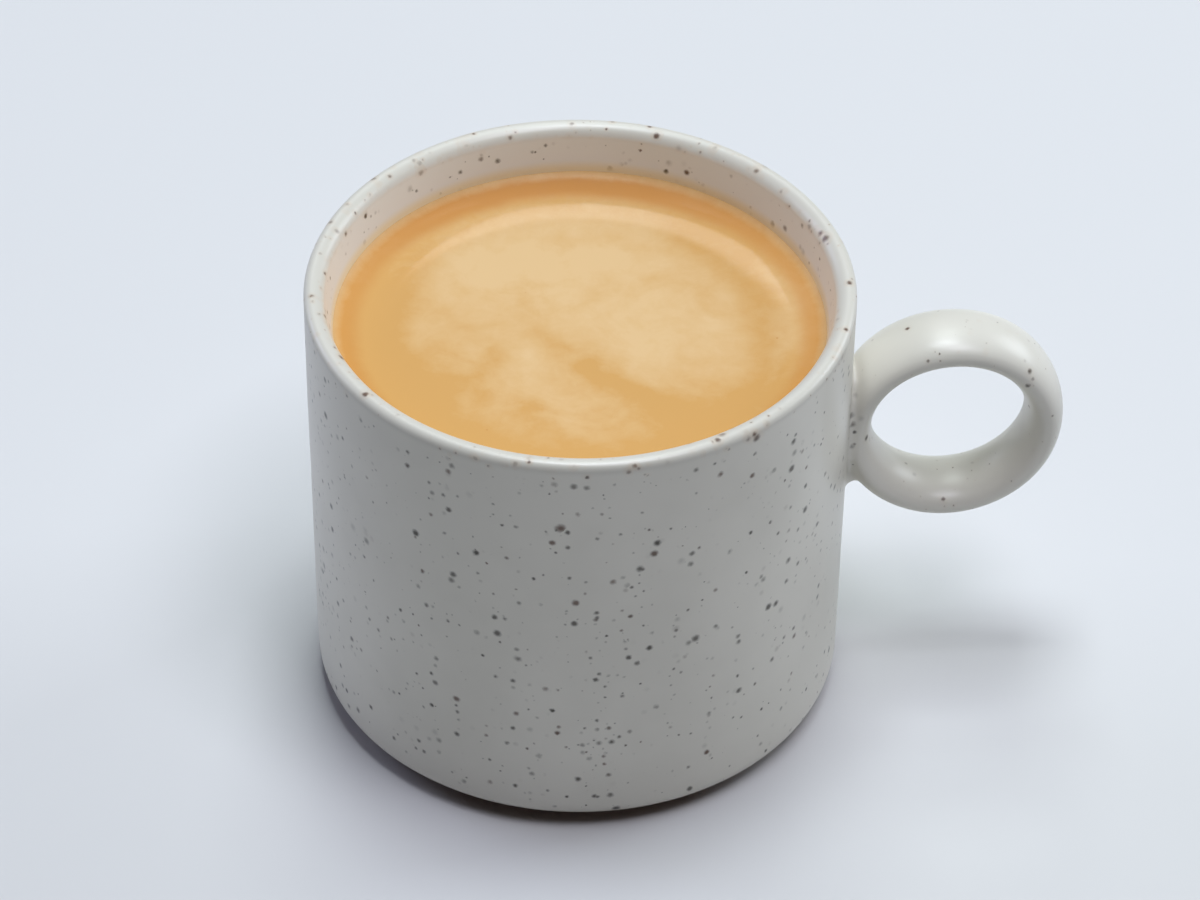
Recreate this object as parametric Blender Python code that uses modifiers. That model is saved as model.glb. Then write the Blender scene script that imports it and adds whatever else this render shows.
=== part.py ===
"""A cup of americano: a stoneware mug with a round ring handle, filled with
black coffee that carries a thin layer of crema.

Run with: blender --background --python part.py
Metres, +Z up. The origin is the middle of the foot, on the surface the mug
stands on. The ring handle points along +X.
"""
import math

import bpy

# --- Mug body -------------------------------------------------------------
HEIGHT = 0.0750            # foot to the top of the lip
RIM_RADIUS = 0.0420        # outside of the wall, just under the lip
BASE_RADIUS = 0.0413       # outside of the wall, just above the base corner
BASE_CORNER = 0.0030       # rounding where the wall turns under
FOOT_HEIGHT = 0.0020       # the trimmed foot lifts the base corner this far
FOOT_RADIUS = 0.0330
FOOT_EDGE = 0.0006         # small bevel round the foot's lower edge
BODY_WALL = 0.0050         # wall thickness up to where the inside opens out
LIP_OUTER_ROUND = 0.0012   # rounding over the outer edge of the lip
LIP_INNER_ROUND = 0.0021   # the softer rounding over its inner edge
LIP_LEAN = 10.8            # degrees the inside leans out, just under the lip
FLOOR_HEIGHT = 0.0060      # top of the inside floor
INNER_CORNER = 0.0080      # rounding between the inside floor and the wall

# --- Ring handle ----------------------------------------------------------
RING_RADIUS = 0.0150       # middle of the band, so the finger hole is 24 mm
BAND_THICKNESS = 0.0059    # across the band, towards the ring's centre
BAND_WIDTH = 0.0120        # along the ring's axis
RING_REACH = 0.0576        # mug axis to ring centre: the band sinks in the wall
RING_HEIGHT = 0.0463       # ring centre above the foot

# --- Drink ----------------------------------------------------------------
CREMA_LEVEL = 0.0657       # calm surface of the crema
CREMA_DEPTH = 0.0025
MENISCUS_RISE = 0.0014     # how far the surface climbs at the wall
MENISCUS_LENGTH = 0.0032   # the climb falls off over this distance
MENISCUS_REACH = 0.0130    # beyond this distance the surface is flat
GAP = 0.0003               # clear space between neighbouring pieces

# --- Fineness -------------------------------------------------------------
MUG_STEPS = 96             # flats round the mug
DRINK_STEPS = 72           # flats round the coffee and the crema
LIP_STEPS = 5              # on each side of the lip's top
CORNER_STEPS = 5
MENISCUS_STEPS = 8
RING_STEPS = 72            # round the ring
BAND_STEPS = 24            # round the band's oval section
MERGE_DISTANCE = 0.00001
SHARP_ANGLE = math.radians(35.0)


def clear_scene():
    """Start from an empty scene."""
    for obj in list(bpy.data.objects):
        bpy.data.objects.remove(obj, do_unlink=True)


def new_collection(name):
    collection = bpy.data.collections.new(name)
    bpy.context.scene.collection.children.link(collection)
    return collection


def new_material(name, colour, roughness, metallic=0.0):
    material = bpy.data.materials.new(name)
    material.use_nodes = True
    shader = material.node_tree.nodes["Principled BSDF"]
    shader.inputs["Base Color"].default_value = (*colour, 1.0)
    shader.inputs["Roughness"].default_value = roughness
    shader.inputs["Metallic"].default_value = metallic
    return material


def arc(centre, radius, start, end, steps):
    """Points (x, z) on an arc, both ends included, angles in degrees."""
    points = []
    for step in range(steps + 1):
        angle = math.radians(start + (end - start) * step / steps)
        points.append((centre[0] + radius * math.cos(angle),
                       centre[1] + radius * math.sin(angle)))
    return points


def select_only(obj):
    bpy.ops.object.select_all(action="DESELECT")
    obj.select_set(True)
    bpy.context.view_layer.objects.active = obj


def turned(name, profile, steps, collection, material):
    """Turn a profile of (x, z) points once round Z into a closed solid."""
    mesh = bpy.data.meshes.new(name)
    points = [(x, 0.0, z) for x, z in profile]
    edges = [(i, i + 1) for i in range(len(points) - 1)]
    mesh.from_pydata(points, edges, [])
    obj = bpy.data.objects.new(name, mesh)
    collection.objects.link(obj)
    # Half a step of turn keeps the edges off the handle's middle plane.
    obj.rotation_euler.z = math.pi / steps

    screw = obj.modifiers.new("turn", "SCREW")
    screw.axis = "Z"
    screw.angle = 2.0 * math.pi
    screw.steps = steps
    screw.render_steps = steps
    screw.use_merge_vertices = True
    screw.merge_threshold = MERGE_DISTANCE
    select_only(obj)
    bpy.ops.object.modifier_apply(modifier=screw.name)
    bpy.ops.object.transform_apply(location=False, rotation=True, scale=False)
    obj.data.materials.append(material)
    return obj


def shade_round(obj):
    """Smooth the round surfaces and keep the foot's edges crisp."""
    obj.data.shade_smooth()
    obj.data.set_sharp_from_angle(angle=SHARP_ANGLE)


def outer_radius(z):
    """Outside radius of the wall, a little wider at the lip than below."""
    low_z = FOOT_HEIGHT + BASE_CORNER
    share = (z - low_z) / (HEIGHT - LIP_OUTER_ROUND - low_z)
    return BASE_RADIUS + (RIM_RADIUS - BASE_RADIUS) * share


def lip_start():
    """The point (x, z) where the inside runs into the rounded lip."""
    lean = math.radians(LIP_LEAN)
    x = RIM_RADIUS - LIP_OUTER_ROUND - LIP_INNER_ROUND * math.cos(lean)
    z = HEIGHT - LIP_INNER_ROUND * (1.0 - math.sin(lean))
    return x, z


def leaning_radius(z):
    """Radius of the leaning upper part of the inside, drawn on downwards."""
    lip_x, lip_z = lip_start()
    return lip_x - (lip_z - z) * math.tan(math.radians(LIP_LEAN))


def inner_radius(z):
    """Inside radius: an even wall below, leaning out towards the lip above."""
    return max(outer_radius(z) - BODY_WALL, leaning_radius(z))


def lean_start():
    """The height where the leaning part leaves the even wall."""
    at_foot = outer_radius(0.0) - BODY_WALL - leaning_radius(0.0)
    at_lip = outer_radius(HEIGHT) - BODY_WALL - leaning_radius(HEIGHT)
    return HEIGHT * at_foot / (at_foot - at_lip)


def mug_profile():
    """Inside floor, up the inner wall, over the lip and down to the foot."""
    corner_z = FLOOR_HEIGHT + INNER_CORNER
    corner_x = inner_radius(corner_z) - INNER_CORNER
    lip_x = RIM_RADIUS - LIP_OUTER_ROUND
    inner_centre = (lip_x, HEIGHT - LIP_INNER_ROUND)
    outer_centre = (lip_x, HEIGHT - LIP_OUTER_ROUND)
    base_centre = (BASE_RADIUS - BASE_CORNER, FOOT_HEIGHT + BASE_CORNER)

    profile = [(0.0, FLOOR_HEIGHT)]
    profile += arc((corner_x, corner_z), INNER_CORNER, -90.0, 0.0, CORNER_STEPS)
    profile.append((inner_radius(lean_start()), lean_start()))
    profile += arc(inner_centre, LIP_INNER_ROUND, 180.0 - LIP_LEAN, 90.0, LIP_STEPS)
    profile += arc(outer_centre, LIP_OUTER_ROUND, 90.0, 0.0, LIP_STEPS)[1:]
    profile += arc(base_centre, BASE_CORNER, 0.0, -90.0, CORNER_STEPS)
    profile += [(FOOT_RADIUS, FOOT_HEIGHT),
                (FOOT_RADIUS, FOOT_EDGE),
                (FOOT_RADIUS - FOOT_EDGE, 0.0),
                (0.0, 0.0)]
    return profile


def make_ring(collection):
    """The handle: a flat oval band closed into an upright ring."""
    bpy.ops.mesh.primitive_torus_add(
        major_radius=RING_RADIUS, minor_radius=BAND_THICKNESS / 2,
        major_segments=RING_STEPS, minor_segments=BAND_STEPS,
        location=(RING_REACH, 0.0, RING_HEIGHT),
        rotation=(math.pi / 2, 0.0, 0.0))
    ring = bpy.context.active_object
    ring.name = "ring_handle"
    ring.scale.z = BAND_WIDTH / BAND_THICKNESS
    bpy.ops.object.transform_apply(location=True, rotation=True, scale=True)
    for owner in list(ring.users_collection):
        owner.objects.unlink(ring)
    collection.objects.link(ring)
    return ring


def make_mug(collection, joined, glaze):
    """Body and ring handle, fused into the one piece they are fired as."""
    mug = turned("mug", mug_profile(), MUG_STEPS, collection, glaze)
    make_ring(joined)
    union = mug.modifiers.new("join_handle", "BOOLEAN")
    union.operation = "UNION"
    union.operand_type = "COLLECTION"
    union.collection = joined
    union.solver = "EXACT"
    select_only(mug)
    bpy.ops.object.modifier_apply(modifier=union.name)
    for piece in list(joined.objects):
        bpy.data.objects.remove(piece, do_unlink=True)
    bpy.data.collections.remove(joined)
    shade_round(mug)
    return mug


def make_coffee(collection, material):
    """Black coffee, from the inside floor up to the crema."""
    top = CREMA_LEVEL - CREMA_DEPTH - GAP
    corner_z = FLOOR_HEIGHT + INNER_CORNER
    corner_x = inner_radius(corner_z) - INNER_CORNER
    profile = [(0.0, top), (inner_radius(top) - GAP, top)]
    profile += arc((corner_x, corner_z), INNER_CORNER - GAP, 0.0, -90.0, CORNER_STEPS)
    profile.append((0.0, FLOOR_HEIGHT + GAP))
    coffee = turned("coffee", profile, DRINK_STEPS, collection, material)
    shade_round(coffee)
    return coffee


def make_crema(collection, material):
    """The tan foam that floats on the coffee, with its raised edge."""
    bottom = CREMA_LEVEL - CREMA_DEPTH
    edge = inner_radius(CREMA_LEVEL + MENISCUS_RISE) - GAP
    profile = [(0.0, CREMA_LEVEL)]
    for step in range(MENISCUS_STEPS + 1):
        to_edge = MENISCUS_REACH * (1.0 - step / MENISCUS_STEPS) ** 2
        rise = MENISCUS_RISE * math.exp(-to_edge / MENISCUS_LENGTH)
        profile.append((edge - to_edge, CREMA_LEVEL + rise))
    profile += [(inner_radius(lean_start()) - GAP, lean_start()),
                (inner_radius(bottom) - GAP, bottom),
                (0.0, bottom)]
    crema = turned("crema", profile, DRINK_STEPS, collection, material)
    shade_round(crema)
    return crema


def main():
    clear_scene()
    cup = new_collection("cup_of_americano")
    joined = new_collection("joined_to_mug")
    glaze = new_material("speckled_glaze", (0.66, 0.64, 0.58), 0.38)
    coffee = new_material("black_coffee", (0.045, 0.016, 0.006), 0.08)
    crema = new_material("crema_foam", (0.70, 0.42, 0.19), 0.30)
    make_mug(cup, joined, glaze)
    make_coffee(cup, coffee)
    make_crema(cup, crema)


main()
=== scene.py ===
# %% [markdown]
# # A cup of americano
#
# This lesson dresses a plain solid model of a filled stoneware mug. The solids
# come packed as a frame that never moves, and every piece made here is laid
# over them in the same metres, with +Z up and the ring handle along +X.
#
# The real object has three materials to study: a satin, speckled glaze thrown
# over pale clay, a thin foam of coffee oils and gas called crema, and the black
# coffee that carries it.

# %% Load the frame
import math

import bmesh
import bpy
import numpy as np
from mathutils import Matrix, Vector


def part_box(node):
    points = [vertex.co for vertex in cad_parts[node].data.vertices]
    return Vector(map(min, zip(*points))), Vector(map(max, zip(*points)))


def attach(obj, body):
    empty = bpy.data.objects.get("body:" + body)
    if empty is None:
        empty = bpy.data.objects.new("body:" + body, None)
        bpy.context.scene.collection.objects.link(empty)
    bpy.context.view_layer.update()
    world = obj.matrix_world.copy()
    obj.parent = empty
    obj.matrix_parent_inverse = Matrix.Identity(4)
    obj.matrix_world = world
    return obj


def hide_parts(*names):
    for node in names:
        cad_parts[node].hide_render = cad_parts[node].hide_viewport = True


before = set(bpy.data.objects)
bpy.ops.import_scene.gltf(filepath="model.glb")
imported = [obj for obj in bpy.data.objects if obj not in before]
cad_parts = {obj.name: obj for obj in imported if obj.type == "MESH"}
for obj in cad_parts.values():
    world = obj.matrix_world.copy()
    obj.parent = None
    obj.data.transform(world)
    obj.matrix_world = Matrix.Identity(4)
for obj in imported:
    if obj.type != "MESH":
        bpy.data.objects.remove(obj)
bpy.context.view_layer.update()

MM = 0.001
mug_low, mug_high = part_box("mug")
print("nodes in the frame:", sorted(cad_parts))
print("mug, mm:", [round(side / MM, 1) for side in mug_high - mug_low])

# %% [markdown]
# ## Small helpers
#
# An operator in Blender acts on whatever is selected, and loading the frame
# leaves its solids selected. So each step starts by clearing the selection. In
# edit mode the faces and edges are then picked by a test on their place, which
# does the work of a click with the mouse.

# %% Selection helpers
def start_clean():
    """Leave edit mode and deselect every object."""
    if bpy.context.mode != "OBJECT":
        bpy.ops.object.mode_set(mode="OBJECT")
    bpy.ops.object.select_all(action="DESELECT")


def select_only(piece):
    start_clean()
    piece.select_set(True)
    bpy.context.view_layer.objects.active = piece


def edit(piece):
    """Open a piece in edit mode with nothing picked."""
    select_only(piece)
    bpy.ops.object.mode_set(mode="EDIT")
    bpy.ops.mesh.select_all(action="DESELECT")


def pick(piece, kind, test):
    """Pick the faces or edges whose middle passes a test, and count them."""
    bpy.ops.mesh.select_mode(type=kind)
    bpy.ops.mesh.select_all(action="DESELECT")
    mesh = bmesh.from_edit_mesh(piece.data)
    if kind == "FACE":
        for face in mesh.faces:
            face.select_set(test(face, face.calc_center_median()))
    else:
        for edge in mesh.edges:
            middle = (edge.verts[0].co + edge.verts[1].co) / 2
            edge.select_set(test(edge, middle))
    bmesh.update_edit_mesh(piece.data)
    return len([item for item in (mesh.faces if kind == "FACE" else mesh.edges)
                if item.select])


def apply_modifier(piece, kind, name, **settings):
    """Add a modifier, set it up and apply it at once."""
    select_only(piece)
    modifier = piece.modifiers.new(name, kind)
    for setting, value in settings.items():
        setattr(modifier, setting, value)
    bpy.ops.object.modifier_apply(modifier=name)


def report(piece):
    """Print what a finished mesh measures."""
    mesh = piece.data
    mesh.calc_loop_triangles()
    points = [vertex.co for vertex in mesh.vertices]
    low = [min(point[axis] for point in points) / MM for axis in range(3)]
    high = [max(point[axis] for point in points) / MM for axis in range(3)]
    print(piece.name, len(mesh.loop_triangles), "triangles, from",
          [round(value, 2) for value in low], "to",
          [round(value, 2) for value in high], "mm")


# %% [markdown]
# ## The mug's measures
#
# A thrown or cast mug is one turned shape, so a few radii and heights describe
# it. The wall is an even 5 mm, and over the last 11 mm the inside leans out, so
# that the lip is only 3 mm thick and pleasant to drink from. The lip is rounded
# tightly outside and softly inside. These are the same values that the solid
# model was made with.

# %% Measures
HEIGHT = mug_high.z
RIM_RADIUS = 42.0 * MM
BASE_RADIUS = 41.3 * MM
BASE_CORNER = 3.0 * MM
FOOT_HEIGHT = 2.0 * MM
FOOT_RADIUS = 33.0 * MM
FOOT_EDGE = 0.6 * MM
BODY_WALL = 5.0 * MM
LIP_OUTER_ROUND = 1.2 * MM
LIP_INNER_ROUND = 2.1 * MM
LIP_LEAN = math.radians(10.8)
FLOOR_HEIGHT = 6.0 * MM
INNER_CORNER = 8.0 * MM


def outer_radius(z):
    """Outside radius of the wall at a height."""
    low_z = FOOT_HEIGHT + BASE_CORNER
    share = (z - low_z) / (HEIGHT - LIP_OUTER_ROUND - low_z)
    return BASE_RADIUS + (RIM_RADIUS - BASE_RADIUS) * share


def leaning_radius(z):
    """Radius of the inside's leaning upper part, drawn on up and down."""
    lip_x = RIM_RADIUS - LIP_OUTER_ROUND - LIP_INNER_ROUND * math.cos(LIP_LEAN)
    lip_z = HEIGHT - LIP_INNER_ROUND * (1.0 - math.sin(LIP_LEAN))
    return lip_x - (lip_z - z) * math.tan(LIP_LEAN)


def inner_radius(z):
    """Inside radius: an even wall below, leaning out towards the lip above."""
    return max(outer_radius(z) - BODY_WALL, leaning_radius(z))


at_foot = outer_radius(0) - BODY_WALL - leaning_radius(0)
at_lip = outer_radius(HEIGHT) - BODY_WALL - leaning_radius(HEIGHT)
lean_start = HEIGHT * at_foot / (at_foot - at_lip)
print("the inside leans out from", round(lean_start / MM, 2), "mm up")

# %% [markdown]
# ## The mug body
#
# The body could be drawn as a half outline and spun. Here it starts as a cone
# instead, because its two end discs can be worked as a potter works clay: the
# top disc is inset and pushed down to hollow the mug, and the bottom disc is
# inset and pulled down to leave a trimmed foot. Bevels then round the lip, the
# inside corner and the base.

# %% Cone and hollow
BODY_STEPS = 320

start_clean()
bpy.ops.mesh.primitive_cone_add(
    vertices=BODY_STEPS, radius1=outer_radius(FOOT_HEIGHT), radius2=RIM_RADIUS,
    depth=HEIGHT - FOOT_HEIGHT, location=(0, 0, (HEIGHT + FOOT_HEIGHT) / 2))
mug = bpy.context.active_object
mug.name = "mug_body"
bpy.ops.object.transform_apply(location=True, rotation=True, scale=True)


def sink_inside(radius, height, new_radius, new_height):
    """Push the picked disc down a step and size it to the wall there."""
    bpy.ops.mesh.extrude_region_move(
        TRANSFORM_OT_translate={"value": (0, 0, new_height - height)})
    scale = new_radius / radius
    bpy.ops.transform.resize(value=(scale, scale, 1), center_override=(0, 0, 0))


edit(mug)
pick(mug, "FACE", lambda face, at: face.normal.z > 0.9)
mouth_radius = leaning_radius(HEIGHT)
bpy.ops.mesh.inset(thickness=RIM_RADIUS - mouth_radius, depth=0)
sink_inside(mouth_radius, HEIGHT, inner_radius(lean_start), lean_start)
sink_inside(inner_radius(lean_start), lean_start, inner_radius(FLOOR_HEIGHT), FLOOR_HEIGHT)
print("mouth radius:", round(mouth_radius / MM, 2), "mm")

# %% [markdown]
# The lip's outer edge is a right angle and its inner edge is blunter, because
# the inside leans out. Each bevel is as wide as the run where a circle of the
# wanted radius touches both faces, and the two rounds just meet on top.

# %% Bevels
inner_run = LIP_INNER_ROUND * math.tan((math.pi / 2 - LIP_LEAN) / 2)


def loop_at(radius, height, reach=0.2 * MM):
    """A test for the edges of one level ring of the turned body."""
    def test(edge, at):
        level = all(abs(end.co.z - height) < 0.01 * MM for end in edge.verts)
        return level and abs(math.hypot(at.x, at.y) - radius) < reach
    return test


def round_edge(radius, height, run, segments):
    picked = pick(mug, "EDGE", loop_at(radius, height))
    bpy.ops.mesh.bevel(offset=run, segments=segments, profile=0.5, affect="EDGES")
    print("rounded", picked, "edges by", round(run / MM, 2), "mm")


round_edge(RIM_RADIUS, HEIGHT, LIP_OUTER_ROUND * 0.995, 9)
round_edge(mouth_radius, HEIGHT, inner_run * 0.995, 11)
round_edge(inner_radius(FLOOR_HEIGHT), FLOOR_HEIGHT, INNER_CORNER, 8)
round_edge(outer_radius(FOOT_HEIGHT), FOOT_HEIGHT, BASE_CORNER, 8)

# %% [markdown]
# The foot is what stays after the potter trims the underside. It is narrower
# than the mug, so that a dark line of shade shows under the base.

# %% Foot and wall rings
pick(mug, "FACE", lambda face, at: face.normal.z < -0.9 and at.z < 3 * MM
     and math.hypot(at.x, at.y) < 1 * MM)
flat_radius = outer_radius(FOOT_HEIGHT) - BASE_CORNER
bpy.ops.mesh.inset(thickness=flat_radius - FOOT_RADIUS, depth=0)
bpy.ops.mesh.extrude_region_move(TRANSFORM_OT_translate={"value": (0, 0, -FOOT_HEIGHT)})
round_edge(FOOT_RADIUS, 0.0, FOOT_EDGE, 3)


def tall_edge(least):
    """A test for edges that run up the wall for more than a length."""
    def test(edge, at):
        return abs(edge.verts[0].co.z - edge.verts[1].co.z) > least
    return test


WALL_CUTS = 26
TALL = 30 * MM
tall = pick(mug, "EDGE", tall_edge(TALL))
bpy.ops.mesh.subdivide(number_cuts=WALL_CUTS)
print("cut", tall, "tall wall edges")

# Rings close to the bevels keep their shading from running into the wall.
RING_CUTS = (5.3, 69.0, 71.0, 72.4, 73.0, 73.55)
for cut_height in RING_CUTS:
    bpy.ops.mesh.select_all(action="SELECT")
    bpy.ops.mesh.bisect(plane_co=(0, 0, cut_height * MM), plane_no=(0, 0, 1))
bpy.ops.object.mode_set(mode="OBJECT")
report(mug)

# %% [markdown]
# ## The ring handle
#
# The handle is a strip of clay closed into a ring and pressed on the wall. A
# torus is the same form, stretched along its axis until its section is a flat
# oval. A real joint is wiped round with a wet finger, so the crease is filled
# with a soft curve. To get it, a thin slice of the wall is joined to the ring,
# the two are remeshed into small even faces, and only the points close to both
# surfaces are smoothed. The slice lies a hair under the real wall, so that
# nothing but the ring and its soft root shows in the end.

# %% Ring and wall slice
RING_RADIUS = 15.0 * MM
BAND_THICKNESS = 5.9 * MM
BAND_WIDTH = 12.0 * MM
RING_CENTRE = Vector((57.6 * MM, 0.0, 46.3 * MM))
SLICE_HEIGHT = 44.0 * MM
SLICE_SINK = 0.03 * MM
SLICE_INNER = 38.2 * MM
SLICE_STEPS = 640

start_clean()
bpy.ops.mesh.primitive_torus_add(
    major_radius=RING_RADIUS, minor_radius=BAND_THICKNESS / 2,
    major_segments=192, minor_segments=64,
    location=RING_CENTRE, rotation=(math.pi / 2, 0, 0))
ring = bpy.context.active_object
ring.name = "ring_handle"
bpy.ops.object.transform_apply(location=True, rotation=True, scale=True)
edit(ring)
bpy.ops.mesh.select_all(action="SELECT")
bpy.ops.transform.resize(value=(1, BAND_WIDTH / BAND_THICKNESS, 1),
                         center_override=(0, 0, 0))

slice_low = RING_CENTRE.z - SLICE_HEIGHT / 2
slice_high = RING_CENTRE.z + SLICE_HEIGHT / 2
start_clean()
bpy.ops.mesh.primitive_cone_add(
    vertices=SLICE_STEPS, radius1=outer_radius(slice_low) - SLICE_SINK,
    radius2=outer_radius(slice_high) - SLICE_SINK,
    depth=SLICE_HEIGHT, location=(0, 0, RING_CENTRE.z))
wall_slice = bpy.context.active_object
wall_slice.name = "wall_slice"
bpy.ops.object.transform_apply(location=True, rotation=True, scale=True)
edit(wall_slice)
bpy.ops.mesh.select_all(action="SELECT")
bpy.ops.mesh.bisect(plane_co=(SLICE_INNER, 0, 0), plane_no=(1, 0, 0),
                    use_fill=True, clear_inner=True)
bpy.ops.object.mode_set(mode="OBJECT")
apply_modifier(ring, "BOOLEAN", "join_slice", operation="UNION",
               solver="EXACT", object=wall_slice)
bpy.data.objects.remove(wall_slice, do_unlink=True)
report(ring)

# %% [markdown]
# Under the joint the potter leaves a little more clay, because that is where the
# full mug pulls hardest. It is a ball pressed flat, sunk into wall and ring. Its
# three radii are in millimetres, because the ball starts with a radius of one.

# %% Clay under the joint
PINCH_CENTRE = (41.6 * MM, 0.0, 37.4 * MM)
PINCH_RADII = (2.6, 4.6, 3.0)

start_clean()
bpy.ops.mesh.primitive_uv_sphere_add(segments=48, ring_count=24, radius=MM,
                                     location=PINCH_CENTRE, scale=PINCH_RADII)
pinch = bpy.context.active_object
bpy.ops.object.transform_apply(location=True, rotation=True, scale=True)
apply_modifier(ring, "BOOLEAN", "join_pinch", operation="UNION",
               solver="EXACT", object=pinch)
bpy.data.objects.remove(pinch, do_unlink=True)

# %% [markdown]
# The remesh gives even faces but moves each point a little, so a shrinkwrap
# puts them back on the joined shape. The smoothing reads a vertex group: its
# weight is full in the crease and fades to nothing a few millimetres away. It
# reaches further under the ring, where the extra clay is wiped out thin.

# %% Soft joint
VOXEL = 0.42 * MM
JOINT_REACH = 2.0 * MM
LOWER_REACH = 5.0 * MM
LOWER_HEIGHT = 35 * MM
LOWER_FADE = 8 * MM
JOINT_SIDE = 40 * MM
WIPES = 40

start_clean()
joined_shape = ring.copy()
joined_shape.data = ring.data.copy()
bpy.context.collection.objects.link(joined_shape)
apply_modifier(ring, "REMESH", "even_faces", mode="VOXEL", voxel_size=VOXEL)
apply_modifier(ring, "SHRINKWRAP", "back_on_shape", target=joined_shape,
               wrap_method="NEAREST_SURFACEPOINT")


def outside_wall(point):
    """Distance from the wall's outside, outwards."""
    return math.hypot(point.x, point.y) - outer_radius(point.z)


def outside_band(point):
    """Distance from the ring band's oval surface, near enough."""
    from_ring = math.hypot(point.x - RING_CENTRE.x, point.z - RING_CENTRE.z) - RING_RADIUS
    across = from_ring / (BAND_THICKNESS / 2)
    along = point.y / (BAND_WIDTH / 2)
    size = math.hypot(across, along)
    slope = math.hypot(across / (BAND_THICKNESS / 2), along / (BAND_WIDTH / 2))
    return (size - 1.0) * size / max(slope, 1e-9)


def fade(value):
    """1 at 0 and below, 0 at 1 and above, smooth between."""
    value = min(1.0, max(0.0, value))
    return 1.0 - value * value * (3.0 - 2.0 * value)


joint = ring.vertex_groups.new(name="joint")
for vertex in ring.data.vertices:
    other = max(outside_wall(vertex.co), outside_band(vertex.co))
    below = fade((vertex.co.z - LOWER_HEIGHT) / LOWER_FADE)
    weight = fade(other / (JOINT_REACH + (LOWER_REACH - JOINT_REACH) * below))
    if weight > 0.0 and vertex.co.x > JOINT_SIDE:
        joint.add([vertex.index], weight, "REPLACE")
apply_modifier(ring, "SMOOTH", "wipe_joint", factor=0.5, iterations=WIPES,
               vertex_group="joint")
bpy.data.objects.remove(joined_shape, do_unlink=True)
report(ring)

# %% Join the handle to the body
apply_modifier(mug, "BOOLEAN", "join_handle", operation="UNION",
               solver="EXACT", object=ring)
bpy.data.objects.remove(ring, do_unlink=True)
select_only(mug)
bpy.ops.object.shade_smooth_by_angle(angle=math.radians(50))
report(mug)

# %% [markdown]
# No hand-made mug is quite true. A cloud texture pushes the wall in and out by
# less than a tenth of a millimetre, which only shows as a slow waver in the
# highlights. The foot is left alone, so that the mug stands flat.

# %% A hand-made waver
WAVER = 0.16 * MM
WAVER_SIZE = 22 * MM
WAVER_FADE = 8 * MM

above_foot = mug.vertex_groups.new(name="above_foot")
for vertex in mug.data.vertices:
    weight = 1.0 - fade((vertex.co.z - FOOT_HEIGHT) / WAVER_FADE)
    if weight > 0.0:
        above_foot.add([vertex.index], weight, "REPLACE")
clay_waver = bpy.data.textures.new("clay_waver", "CLOUDS")
clay_waver.noise_scale = WAVER_SIZE
clay_waver.noise_depth = 1
apply_modifier(mug, "DISPLACE", "waver", texture=clay_waver, texture_coords="LOCAL",
               strength=WAVER, mid_level=0.5, vertex_group="above_foot")

# %% [markdown]
# ## The crema
#
# Crema is a foam of very fine bubbles with a wet film on top. It lies level,
# but it wets the glaze and climbs the wall: a wide, low rise first, which is
# the meniscus, and a last steep bit where foam clings to the glaze. It starts
# as a cylinder. Its top disc is inset again and again, and after each inset the
# disc that is left is lowered to the height of the surface there.

# %% Crema disc
CREMA_LEVEL = 65.7 * MM
CREMA_DEPTH = 2.5 * MM
MENISCUS_RISE = 1.5 * MM
MENISCUS_LENGTH = 4.2 * MM
CLING_RISE = 0.45 * MM
CLING_LENGTH = 0.45 * MM
WALL_OVERLAP = 0.10 * MM
CREMA_STEPS = 288
FIRST_STEP = 0.08 * MM
STEP_GROWTH = 1.08
LARGEST_STEP = 0.7 * MM

contact_height = CREMA_LEVEL + MENISCUS_RISE + CLING_RISE
crema_radius = inner_radius(contact_height) + WALL_OVERLAP


def crema_height(to_edge):
    """Surface height at a distance from the edge."""
    return (CREMA_LEVEL + MENISCUS_RISE * math.exp(-to_edge / MENISCUS_LENGTH)
            + CLING_RISE * math.exp(-to_edge / CLING_LENGTH))


start_clean()
bpy.ops.mesh.primitive_cylinder_add(
    vertices=CREMA_STEPS, radius=crema_radius, depth=contact_height - CREMA_LEVEL + CREMA_DEPTH,
    location=(0, 0, (contact_height + CREMA_LEVEL - CREMA_DEPTH) / 2))
crema = bpy.context.active_object
crema.name = "crema_foam"
bpy.ops.object.transform_apply(location=True, rotation=True, scale=True)

edit(crema)
pick(crema, "FACE", lambda face, at: face.normal.z < -0.9)
narrow = (inner_radius(CREMA_LEVEL - CREMA_DEPTH) + WALL_OVERLAP) / crema_radius
bpy.ops.transform.resize(value=(narrow, narrow, 1), center_override=(0, 0, 0))
pick(crema, "FACE", lambda face, at: face.normal.z > 0.9)
to_edge = 0.0
height = contact_height
step_size = FIRST_STEP
while to_edge + step_size < crema_radius - 0.5 * MM:
    to_edge += step_size
    bpy.ops.mesh.inset(thickness=step_size, depth=0)
    new_height = crema_height(to_edge)
    bpy.ops.transform.translate(value=(0, 0, new_height - height))
    height = new_height
    step_size = min(step_size * STEP_GROWTH, LARGEST_STEP)
bpy.ops.object.mode_set(mode="OBJECT")
select_only(crema)
bpy.ops.object.shade_smooth_by_angle(angle=math.radians(50))
report(crema)
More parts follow.
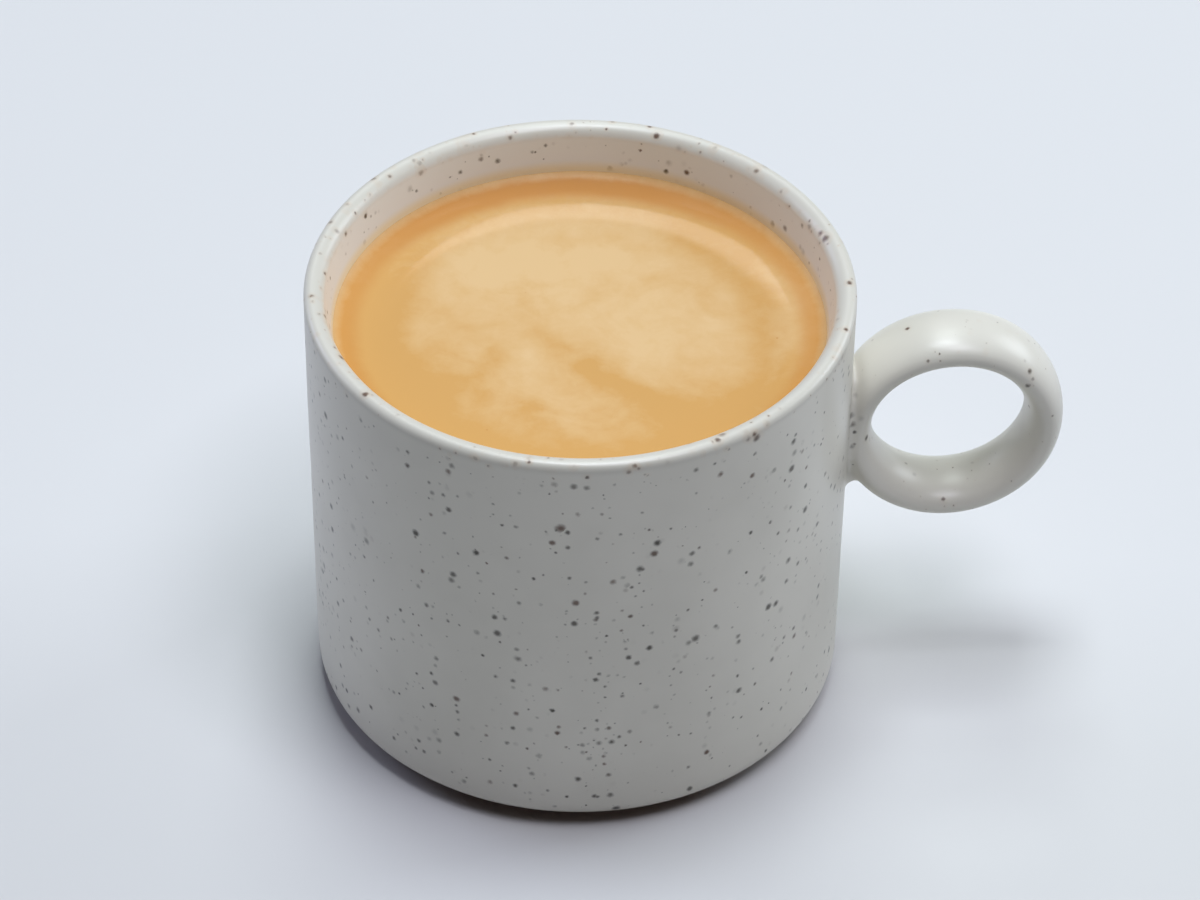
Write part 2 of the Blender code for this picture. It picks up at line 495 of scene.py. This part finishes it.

# %% [markdown]
# The foam's colour is not even: it is pale where the foam is thick and deep
# amber where it is thin, as it is along the wall and where the stream from the
# machine drew it into swirls. These strokes are painted on the mesh's own
# points, as with a soft brush in vertex paint: each stroke is a short line with
# a width and a strength, positive for amber and negative for pale. One pale
# stroke on the far side lies under the mirror arc and is partly painted highlight.

# %% Paint the swirls
SWIRLS = [
    # width in mm, strength, points in mm from the stroke's start to its end
    (1.7, 0.34, [(-4, -1), (0, -7), (4, -12)]),
    (2.6, 0.50, [(1, -8), (5, -13), (9, -16), (14, -19)]),
    (5.0, 0.16, [(-2, -7), (4, -14), (12, -20)]),
    (10.0, 0.52, [(-25, -10), (-15, -19), (-2, -23), (12, -22), (20, -18)]),
    (3.2, 0.38, [(17, 20), (25, 11), (27, 2), (26, -6)]),
    (6.0, 0.40, [(-27, 12), (-31, 0), (-27, -12)]),
    (2.6, 0.30, [(-14, -6), (-18, -12), (-22, -14)]),
    (2.4, 0.26, [(-10, -18), (-4, -24), (4, -28)]),
    (3.0, 0.25, [(-8, 5), (-6, -3)]),
    (5.0, -0.30, [(-17, 18), (-8, 18), (2, 17)]),
    (2.4, -0.28, [(-9, -6), (-7, -14), (-3, -21), (2, -28)]),
    (6.0, -0.20, [(12, -4), (22, -8)]),
    # This pale stroke lies under the mirror arc on the far side: it is partly painted highlight
    # that adds to the window's real reflection there.
    (5.0, -0.25, [(-13, 26), (0, 29), (11, 26)]),
    (3.0, 0.22, [(-10, 21), (0, 23), (10, 21)]),
    (3.0, -0.35, [(32, 9), (33, 2), (31, -6)]),
    (2.0, 0.22, [(13, 13), (18, 9), (19, 3)]),
    (1.8, 0.20, [(-22, 6), (-17, 2), (-13, -4)]),
]


def stroke_strength(x, y, width, points):
    """1 on the stroke's line, fading to 0 at its width."""
    nearest = np.full(x.shape, 1e9)
    for (x0, y0), (x1, y1) in zip(points[:-1], points[1:]):
        dx, dy = x1 - x0, y1 - y0
        along = ((x - x0) * dx + (y - y0) * dy) / (dx * dx + dy * dy)
        along = np.clip(along, 0.0, 1.0)
        away = np.hypot(x - x0 - along * dx, y - y0 - along * dy)
        nearest = np.minimum(nearest, away)
    return np.exp(-(nearest / width) ** 2)


def paint_swirls(piece):
    """Write the sum of all strokes to the point attribute foam_tone."""
    points = np.empty(len(piece.data.vertices) * 3)
    piece.data.vertices.foreach_get("co", points)
    x, y = points.reshape(-1, 3)[:, 0] / MM, points.reshape(-1, 3)[:, 1] / MM
    # A gentle wave keeps the strokes from looking ruled.
    wavy_x = x + 0.8 * np.sin(y * 0.55 + 1.0) + 0.4 * np.sin(y * 1.3 + x * 0.6)
    wavy_y = y + 0.8 * np.sin(x * 0.47 + 2.0) + 0.4 * np.sin(x * 1.2 - y * 0.5)
    tone = np.zeros(x.shape)
    for width, strength, line in SWIRLS:
        tone += strength * stroke_strength(wavy_x, wavy_y, width, line)
    layer = piece.data.attributes.new("foam_tone", "FLOAT", "POINT")
    layer.data.foreach_set("value", tone.astype(np.float32))
    print("foam tone from", round(tone.min(), 2), "to", round(tone.max(), 2))


paint_swirls(crema)

# %% [markdown]
# ## Node helpers
#
# The materials are built from nodes by code, so two helpers keep them short:
# one adds a node and sets its values, the other one links two sockets.

# %% Node helpers
class Nodes:
    """A material's node tree, with short calls to add and link nodes."""

    def __init__(self, name):
        self.material = bpy.data.materials.new(name)
        self.material.use_nodes = True
        self.tree = self.material.node_tree
        self.shader = self.tree.nodes["Principled BSDF"]
        self.place = self.add("ShaderNodeTexCoord").outputs["Object"]

    def add(self, kind, inputs=None, **settings):
        node = self.tree.nodes.new(kind)
        for setting, value in settings.items():
            setattr(node, setting, value)
        for socket, value in (inputs or {}).items():
            self.feed(node.inputs[socket], value)
        return node

    def feed(self, socket, value):
        """Link a socket to another node, or set its value."""
        if isinstance(value, bpy.types.NodeSocket):
            self.tree.links.new(value, socket)
        elif isinstance(value, tuple) and len(value) == 3 and socket.type == "RGBA":
            socket.default_value = (*value, 1.0)
        else:
            socket.default_value = value

    def math(self, operation, first, second=0.0, clamp=False):
        node = self.add("ShaderNodeMath", {0: first, 1: second}, operation=operation)
        node.use_clamp = clamp
        return node.outputs[0]

    def ramp(self, value, low, high, smooth=True):
        """0 at low, 1 at high, clamped."""
        kind = "SMOOTHSTEP" if smooth else "LINEAR"
        node = self.add("ShaderNodeMapRange",
                        {"Value": value, "From Min": low, "From Max": high},
                        interpolation_type=kind)
        return node.outputs["Result"]

    def mix(self, share, first, second):
        node = self.add("ShaderNodeMix", data_type="RGBA")
        self.feed(node.inputs["Factor"], share)
        self.feed(node.inputs[6], first)
        self.feed(node.inputs[7], second)
        return node.outputs[2]

    def noise(self, size, detail=2.0, roughness=0.5, distortion=0.0, place=None):
        """Noise with features of about a size in metres."""
        return self.add("ShaderNodeTexNoise",
                        {"Vector": place or self.place, "Scale": 1.0 / size,
                         "Detail": detail, "Roughness": roughness,
                         "Distortion": distortion})

    def set(self, socket, value):
        self.feed(self.shader.inputs[socket], value)


def wear(piece, material):
    """Give a piece one material and nothing else."""
    piece.data.materials.clear()
    piece.data.materials.append(material)
    for face in piece.data.polygons:
        face.material_index = 0


# %% [markdown]
# ## Speckled satin glaze
#
# Specks of iron in the clay melt through the glaze while it is fired. Some sit
# at the surface as dark dots with a soft edge, others lie deeper and show as
# faint smudges. A three-dimensional Voronoi texture gives just that: its points
# are strewn through space, and the surface cuts some of them near their middle
# and some near their edge. Three layers of specks, from big to fine, and one of
# smudges make the mixture, and a slow noise gathers them in loose flocks.
#
# The inside is painted paler and more neutral than the outside: painted light
# that stands in for the light from the front which the lamps don't give.
# The glaze ran off the lip, where it is thin, and the iron in it fires to a rusty
# brown. The lip is a shade greyer, partly from the thin glaze and partly as
# painted shade that tones down its brightly lit top.

# %% Glaze material
GLAZE_LIGHT = (0.690, 0.662, 0.590)
GLAZE_DEEP = (0.648, 0.622, 0.552)
# painted light: the inside's paler glaze stands in for light from the front
GLAZE_INSIDE_PAINTED_LIGHT = (0.805, 0.797, 0.755)
# greyer lip: thin glaze, and partly painted shade on the brightly lit top
GLAZE_LIP_THIN_AND_SHADED = (0.600, 0.577, 0.512)
SPECK_DARK = (0.048, 0.038, 0.026)
SPECK_BROWN = (0.105, 0.052, 0.030)
HALO_RUST = (0.560, 0.380, 0.230)
BARE_CLAY = (0.330, 0.215, 0.155)
COFFEE_FILM = (0.850, 0.710, 0.450)

# where each of these starts and where it is full, as a distance from the
# turning axis or as a height
HANDLE_FROM, HANDLE_FULL = 42.8 * MM, 46.0 * MM
INSIDE_FROM, INSIDE_FULL = 40.0 * MM, 38.9 * MM
FLOOR_FROM, FLOOR_FULL = 5.0 * MM, 8.0 * MM
RUST_FROM, RUST_FULL = 71.5 * MM, 74.5 * MM
LIP_FROM, LIP_FULL = 72.8 * MM, 74.4 * MM
FILM_FROM, FILM_FULL = contact_height + 2.0 * MM, contact_height + 0.1 * MM
CLAY_FROM, CLAY_FULL = 2.3 * MM, 1.9 * MM

# cell size and largest radius in mm, share of cells with a speck, least and
# greatest darkness, how much of the radius is the fully dark core
SPECK_LAYERS = [
    (3.0, 1.00, 0.44, 0.85, 1.00, 0.26),
    (2.0, 0.80, 0.46, 0.58, 1.00, 0.16),
    (1.3, 0.44, 0.30, 0.32, 0.95, 0.12),
    (2.4, 0.94, 0.50, 0.12, 0.38, 0.00),
]


def scale_and_add(nodes, value, factor, offset):
    """A value times a factor, plus an offset."""
    node = nodes.add("ShaderNodeMath", {0: value, 1: factor, 2: offset},
                     operation="MULTIPLY_ADD")
    return node.outputs[0]


def speck_layer(glaze, place, flock, layer):
    """One layer of specks: how dark, how brown, and the halo round each one."""
    cell, radius, share, least, greatest, core = layer
    cells = glaze.add("ShaderNodeTexVoronoi",
                      {"Vector": place, "Scale": 1.0 / (cell * MM)})
    random = glaze.add("ShaderNodeSeparateColor", {"Color": cells.outputs["Color"]})
    size = scale_and_add(glaze, random.outputs["Red"], 0.65, 0.35)
    size = glaze.math("MULTIPLY", size, flock)
    here = glaze.math("LESS_THAN", random.outputs["Green"], share)
    size = glaze.math("MULTIPLY", size, here)
    reach = glaze.math("MULTIPLY", size, radius / cell)
    edge = glaze.math("ADD", reach, 0.0001)
    mask = glaze.ramp(cells.outputs["Distance"], edge, glaze.math("MULTIPLY", reach, core))
    darkness = scale_and_add(glaze, random.outputs["Green"],
                             (greatest - least) / share, least)
    halo = glaze.ramp(cells.outputs["Distance"], glaze.math("MULTIPLY", edge, 2.0), reach)
    halo = glaze.math("MULTIPLY", halo, darkness)
    return glaze.math("MULTIPLY", mask, darkness), random.outputs["Blue"], halo


def make_glaze():
    glaze = Nodes("speckled_glaze")
    across = glaze.add("ShaderNodeSeparateXYZ", {"Vector": glaze.place})
    height = across.outputs["Z"]
    flat = glaze.add("ShaderNodeCombineXYZ", {"X": across.outputs["X"],
                                               "Y": across.outputs["Y"]})
    radius = glaze.add("ShaderNodeVectorMath", {0: flat.outputs[0]},
                       operation="LENGTH").outputs["Value"]

    # Where the glaze is thin: on the lip, and a little on the handle.
    on_handle = glaze.ramp(radius, HANDLE_FROM, HANDLE_FULL)
    thin = glaze.math("MAXIMUM", glaze.ramp(height, RUST_FROM, RUST_FULL),
                      glaze.math("MULTIPLY", on_handle, 0.35))

    # Specks with slightly ragged outlines, in flocks, and fewer on the handle.
    ragged = glaze.noise(0.5 * MM, detail=1.0)
    shift = glaze.add("ShaderNodeVectorMath",
                      {0: ragged.outputs["Color"], 1: (0.5, 0.5, 0.5)},
                      operation="SUBTRACT")
    shift = glaze.add("ShaderNodeVectorMath",
                      {0: shift.outputs[0], "Scale": 0.30 * MM}, operation="SCALE")
    place = glaze.add("ShaderNodeVectorMath",
                      {0: glaze.place, 1: shift.outputs[0]}, operation="ADD").outputs[0]
    flocks = glaze.noise(9 * MM, detail=2.0)
    flock = scale_and_add(glaze, glaze.ramp(flocks.outputs["Fac"], 0.32, 0.66), 0.65, 0.50)
    flock = glaze.math("MULTIPLY", flock, scale_and_add(glaze, on_handle, -0.38, 1.0))

    # The glaze itself, a touch deeper in slow clouds.
    pools = glaze.noise(26 * MM, detail=3.0, roughness=0.6)
    colour = glaze.mix(glaze.ramp(pools.outputs["Fac"], 0.35, 0.65),
                       GLAZE_LIGHT, GLAZE_DEEP)
    # The inside is painted paler: painted light in place of light from the front.
    inside = glaze.math("MULTIPLY", glaze.ramp(radius, INSIDE_FROM, INSIDE_FULL),
                        glaze.ramp(height, FLOOR_FROM, FLOOR_FULL))
    colour = glaze.mix(inside, colour, GLAZE_INSIDE_PAINTED_LIGHT)
    # A shade greyer on the lip: thin glaze, and partly painted shade on its lit top.
    thin_lip_and_shade = glaze.ramp(height, LIP_FROM, LIP_FULL)
    colour = glaze.mix(thin_lip_and_shade, colour, GLAZE_LIP_THIN_AND_SHADED)
    specks = 0.0
    for layer in SPECK_LAYERS:
        mask, tint, halo = speck_layer(glaze, place, flock, layer)
        rusty = glaze.math("MULTIPLY", glaze.math("MULTIPLY", halo, thin), 0.18)
        colour = glaze.mix(rusty, colour, HALO_RUST)
        brown = glaze.math("ADD", glaze.ramp(tint, 0.70, 0.95), thin, clamp=True)
        colour = glaze.mix(mask, colour, glaze.mix(brown, SPECK_DARK, SPECK_BROWN))
        specks = glaze.math("MAXIMUM", mask, specks)

    # A tan film of dried coffee just above the crema, inside the mug only.
    film = glaze.ramp(height, FILM_FROM, FILM_FULL)
    film = glaze.math("MULTIPLY", glaze.math("MULTIPLY", film, inside), 0.85)
    colour = glaze.mix(film, colour, COFFEE_FILM)

    # The foot is wiped clean of glaze before the firing.
    clay_line = glaze.noise(6 * MM, detail=2.0)
    line = glaze.math("MULTIPLY", clay_line.outputs["Fac"], 0.8 * MM)
    line = glaze.math("SUBTRACT", height, line)
    clay = glaze.ramp(line, CLAY_FROM, CLAY_FULL)
    colour = glaze.mix(clay, colour, BARE_CLAY)
    glaze.set("Base Color", colour)

    # A satin finish that is a little duller in some places, and dull bare clay.
    satin = glaze.noise(30 * MM, detail=1.0)
    rough = scale_and_add(glaze, satin.outputs["Fac"], 0.04, 0.315)
    rough = glaze.math("MAXIMUM", rough, glaze.math("MULTIPLY", clay, 0.8))
    glaze.set("Roughness", rough)
    glaze.set("IOR", 1.5)

    # Orange-peel from the firing and tiny pits where specks broke through.
    peel = glaze.noise(1.6 * MM, detail=2.0)
    relief = scale_and_add(glaze, specks, -0.5, peel.outputs["Fac"])
    bump = glaze.add("ShaderNodeBump", {"Height": relief, "Strength": 0.25,
                                        "Distance": 0.02 * MM})
    glaze.set("Normal", bump.outputs["Normal"])
    return glaze.material


wear(mug, make_glaze())
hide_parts("mug")
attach(mug, "root")

# %% [markdown]
# ## Crema material
#
# The foam scatters light like fine wet sand, so its body is a soft, broad
# diffuse, and the oily film on top is a thin coat that mirrors the window behind
# the cup in a long arc, where the surface starts to climb. The colour runs from
# cream in the middle to amber near the wall, follows the painted swirls, and
# breaks up in fine mottles. Close to the wall the foam is thin and the dark
# coffee makes it a deep caramel. This band is also painted shade where the wall
# keeps light off the foam, and it is painted deepest and widest on the far side,
# in the shade of the far wall.

# %% Foam material
FOAM_CREAM = (0.662, 0.446, 0.217)
FOAM_ORANGE = (0.574, 0.314, 0.092)
# caramel of thin foam and burst bubbles, also used as painted shade by the wall
FOAM_CARAMEL_AND_SHADE = (0.490, 0.205, 0.036)
FOAM_FILM = (0.595, 0.370, 0.160)

# distances from the wall where each of these starts and where it is full
AMBER_FROM, AMBER_FULL = 14 * MM, 7 * MM
CARAMEL_SHADE_FROM, CARAMEL_SHADE_FULL = 5.2 * MM, 2.2 * MM
CLING_FROM = 1.6 * MM
WET_FROM, WET_FULL = 2.0 * MM, 4.5 * MM
# how much further the painted shade reaches on the far side
FAR_SHADE_REACH = 1.4 * MM


def make_foam():
    foam = Nodes("crema_foam")
    across = foam.add("ShaderNodeSeparateXYZ", {"Vector": foam.place})
    flat = foam.add("ShaderNodeCombineXYZ", {"X": across.outputs["X"],
                                              "Y": across.outputs["Y"]})
    radius = foam.add("ShaderNodeVectorMath", {0: flat.outputs[0]},
                      operation="LENGTH").outputs["Value"]
    to_wall = foam.math("SUBTRACT", crema_radius, radius)
    swirls = foam.noise(11 * MM, detail=4.0, roughness=0.55, distortion=1.4)
    mottle = foam.noise(2.2 * MM, detail=4.0, roughness=0.65, distortion=0.4)
    painted = foam.add("ShaderNodeAttribute", attribute_name="foam_tone").outputs["Fac"]
    drift = foam.math("SUBTRACT", swirls.outputs["Fac"], 0.5)
    grain = foam.math("SUBTRACT", mottle.outputs["Fac"], 0.5)

    # Cream in the middle, amber towards the wall and along the painted strokes.
    wavy = scale_and_add(foam, drift, 7 * MM, to_wall)
    tone = scale_and_add(foam, foam.ramp(wavy, AMBER_FROM, AMBER_FULL), 0.66, 0.18)
    tone = foam.math("ADD", tone, painted)
    tone = scale_and_add(foam, drift, 1.1, tone)
    tone = scale_and_add(foam, grain, 0.60, tone)
    colour = foam.mix(foam.ramp(tone, 0.0, 1.0, smooth=False), FOAM_CREAM, FOAM_ORANGE)

    # Caramel beside the wall: thin foam, and painted shade from the wall that is
    # deepest and widest on the far side. Then the foam's last edge that clings to
    # the glaze.
    shaded_far_side = foam.ramp(foam.math("DIVIDE", across.outputs["Y"], radius), 0.35, 1.05)
    caramel_shade_depth = scale_and_add(foam, shaded_far_side, 0.40, 0.58)
    wavy = scale_and_add(foam, drift, 2.0 * MM, to_wall)
    wavy = scale_and_add(foam, shaded_far_side, -FAR_SHADE_REACH, wavy)
    caramel_and_shade = foam.ramp(wavy, CARAMEL_SHADE_FROM, CARAMEL_SHADE_FULL)
    colour = foam.mix(foam.math("MULTIPLY", caramel_and_shade, caramel_shade_depth), colour, FOAM_CARAMEL_AND_SHADE)
    ragged = scale_and_add(foam, grain, 1.2 * MM, to_wall)
    film = foam.ramp(ragged, CLING_FROM, 0.0, smooth=False)
    colour = foam.mix(film, colour, FOAM_FILM)

    # A few bubbles have burst and show the dark coffee.
    pits = foam.add("ShaderNodeTexVoronoi", {"Vector": foam.place, "Scale": 1 / (4.5 * MM)})
    pit_random = foam.add("ShaderNodeSeparateColor", {"Color": pits.outputs["Color"]})
    pit_here = foam.math("LESS_THAN", pit_random.outputs["Green"], 0.30)
    pit_size = foam.math("MULTIPLY", pit_here, 0.065)
    pit = foam.ramp(pits.outputs["Distance"], pit_size, 0.02)
    pit = foam.math("MULTIPLY", foam.math("MULTIPLY", pit, pit_here), 0.55)
    colour = foam.mix(pit, colour, FOAM_CARAMEL_AND_SHADE)
    foam.set("Base Color", colour)
    foam.set("Roughness", 0.55)
    foam.set("IOR", 1.35)
    foam.set("Coat Weight", scale_and_add(foam, foam.ramp(to_wall, WET_FROM, WET_FULL),
                                          0.23, 0.05))
    foam.set("Coat Roughness", 0.07)
    foam.set("Coat IOR", 1.38)

    # Fine bubbles, and mottles that stand up a little.
    bubbles = foam.add("ShaderNodeTexVoronoi", {"Vector": foam.place,
                                                "Scale": 1.0 / (0.35 * MM)})
    relief = foam.math("ADD", foam.math("MULTIPLY", bubbles.outputs["Distance"], 0.5),
                       mottle.outputs["Fac"])
    bump = foam.add("ShaderNodeBump", {"Height": relief, "Strength": 0.25,
                                       "Distance": 0.03 * MM})
    foam.set("Normal", bump.outputs["Normal"])
    return foam.material


wear(crema, make_foam())
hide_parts("crema")
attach(crema, "root")

# %% [markdown]
# ## Black coffee
#
# The coffee itself is hidden by the crema, so the frame's plain solid stays as
# it is. It still gets a finish of its own: a deep brown in slow clouds, and a
# glossy surface.

# %% Coffee material
COFFEE_DARK = (0.030, 0.010, 0.004)
COFFEE_BROWN = (0.060, 0.022, 0.008)


def make_coffee():
    coffee = Nodes("black_coffee")
    cloud = coffee.noise(9 * MM, detail=2.0)
    coffee.set("Base Color", coffee.mix(cloud.outputs["Fac"], COFFEE_DARK, COFFEE_BROWN))
    coffee.set("Roughness", coffee.ramp(cloud.outputs["Fac"], -6.0, 14.0))
    coffee.set("IOR", 1.34)
    return coffee.material


wear(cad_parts["coffee"], make_coffee())

# %% [markdown]
# ## Camera
#
# A long lens well back keeps the upright walls nearly parallel. It looks down
# at about 41 degrees, a few degrees from the left of the handle's middle plane.

# %% Camera
CAMERA_TURN = math.radians(-5.19)
CAMERA_CLIMB = math.radians(40.92)
CAMERA_ROLL = math.radians(0.771)
CAMERA_DISTANCE = 0.8306
CAMERA_AIM = Vector((3.286, -0.299, 41.97)) * MM
LENS = 160.2

back = Vector((math.sin(CAMERA_TURN) * math.cos(CAMERA_CLIMB),
               -math.cos(CAMERA_TURN) * math.cos(CAMERA_CLIMB),
               math.sin(CAMERA_CLIMB)))
right = Vector((math.cos(CAMERA_TURN), math.sin(CAMERA_TURN), 0.0))
up = back.cross(right)
rolled_right = right * math.cos(CAMERA_ROLL) + up * math.sin(CAMERA_ROLL)
rolled_up = up * math.cos(CAMERA_ROLL) - right * math.sin(CAMERA_ROLL)

camera_data = bpy.data.cameras.new("camera")
camera_data.lens = LENS
camera_data.sensor_width = 36.0
camera_data.clip_start = 0.01
camera_data.clip_end = 20.0
camera = bpy.data.objects.new("camera", camera_data)
bpy.context.scene.collection.objects.link(camera)
axes = Matrix((rolled_right, rolled_up, back)).transposed()
camera.matrix_world = (Matrix.Translation(CAMERA_AIM + back * CAMERA_DISTANCE)
                       @ axes.to_4x4())
bpy.context.scene.camera = camera
print("camera at", [round(value, 3) for value in camera.matrix_world.translation])

# %% [markdown]
# ## Floor and light
#
# The floor is plain and pale. One soft lamp hangs almost straight above the mug
# and one behind it, so that the near wall sits in its own shade, and a third one,
# high up in front on the right, lights the inside. Two big, low lamps draw the
# pale strips down the mug's right and left side. A small window behind the mug
# is there for its mirror image, the pale arc in the crema's wet film.

# %% Floor
FLOOR_COLOUR = (0.640, 0.640, 0.640)
FLOOR_PALE = (0.670, 0.670, 0.670)

start_clean()
bpy.ops.mesh.primitive_plane_add(size=8.0, location=(0, 0, 0))
floor = bpy.context.active_object
floor.name = "floor"
floor_nodes = Nodes("floor")
cloth = floor_nodes.noise(60 * MM, detail=3.0)
floor_nodes.set("Base Color", floor_nodes.mix(
    floor_nodes.math("MULTIPLY", cloth.outputs["Fac"], 0.25), FLOOR_COLOUR, FLOOR_PALE))
floor_nodes.set("Roughness", 0.9)
floor_nodes.set("Specular IOR Level", 0.2)
wear(floor, floor_nodes.material)

# %% Lights
LIGHT_DISTANCE = 1.3


def soft_light(name, turn, climb, width, height, power, colour):
    """An area light that faces the mug, turn degrees right of straight behind."""
    bearing = math.radians(90.0 - turn) + CAMERA_TURN
    lift = math.radians(climb)
    where = Vector((math.cos(bearing) * math.cos(lift),
                    math.sin(bearing) * math.cos(lift),
                    math.sin(lift))) * LIGHT_DISTANCE
    data = bpy.data.lights.new(name, "AREA")
    data.shape = "RECTANGLE"
    data.size = width
    data.size_y = height
    data.energy = power
    data.color = colour
    lamp = bpy.data.objects.new(name, data)
    bpy.context.scene.collection.objects.link(lamp)
    lamp.location = where + Vector((0, 0, HEIGHT))
    lamp.rotation_euler = where.to_track_quat("Z", "Y").to_euler()
    return lamp


# name, turn and climb in degrees, width and height in metres, power in watts, colour
soft_light("above", 2.0, 85.0, 0.40, 0.40, 9.9, (0.87, 0.94, 1.0))
soft_light("front", 135.0, 70.0, 0.45, 0.45, 6.7, (0.89, 0.89, 1.0))
soft_light("back", 0.0, 62.0, 0.45, 0.40, 3.8, (0.89, 1.0, 0.97))
soft_light("right", 62.0, 24.0, 0.62, 0.62, 6.3, (0.85, 0.92, 1.0))
soft_light("left", -60.0, 22.0, 0.62, 0.62, 4.3, (0.70, 0.74, 1.0))
soft_light("window", -2.8, 43.4, 0.110, 0.10, 0.380, (1.0, 1.0, 1.0))

# A dim sky fills the rest.
SKY_COLOUR = (0.93, 0.96, 1.0, 1.0)
SKY_STRENGTH = 0.01

sky = bpy.data.worlds.new("sky")
sky.use_nodes = True
background = sky.node_tree.nodes["Background"]
background.inputs["Color"].default_value = SKY_COLOUR
background.inputs["Strength"].default_value = SKY_STRENGTH
bpy.context.scene.world = sky
bpy.context.scene.view_settings.view_transform = "Standard"
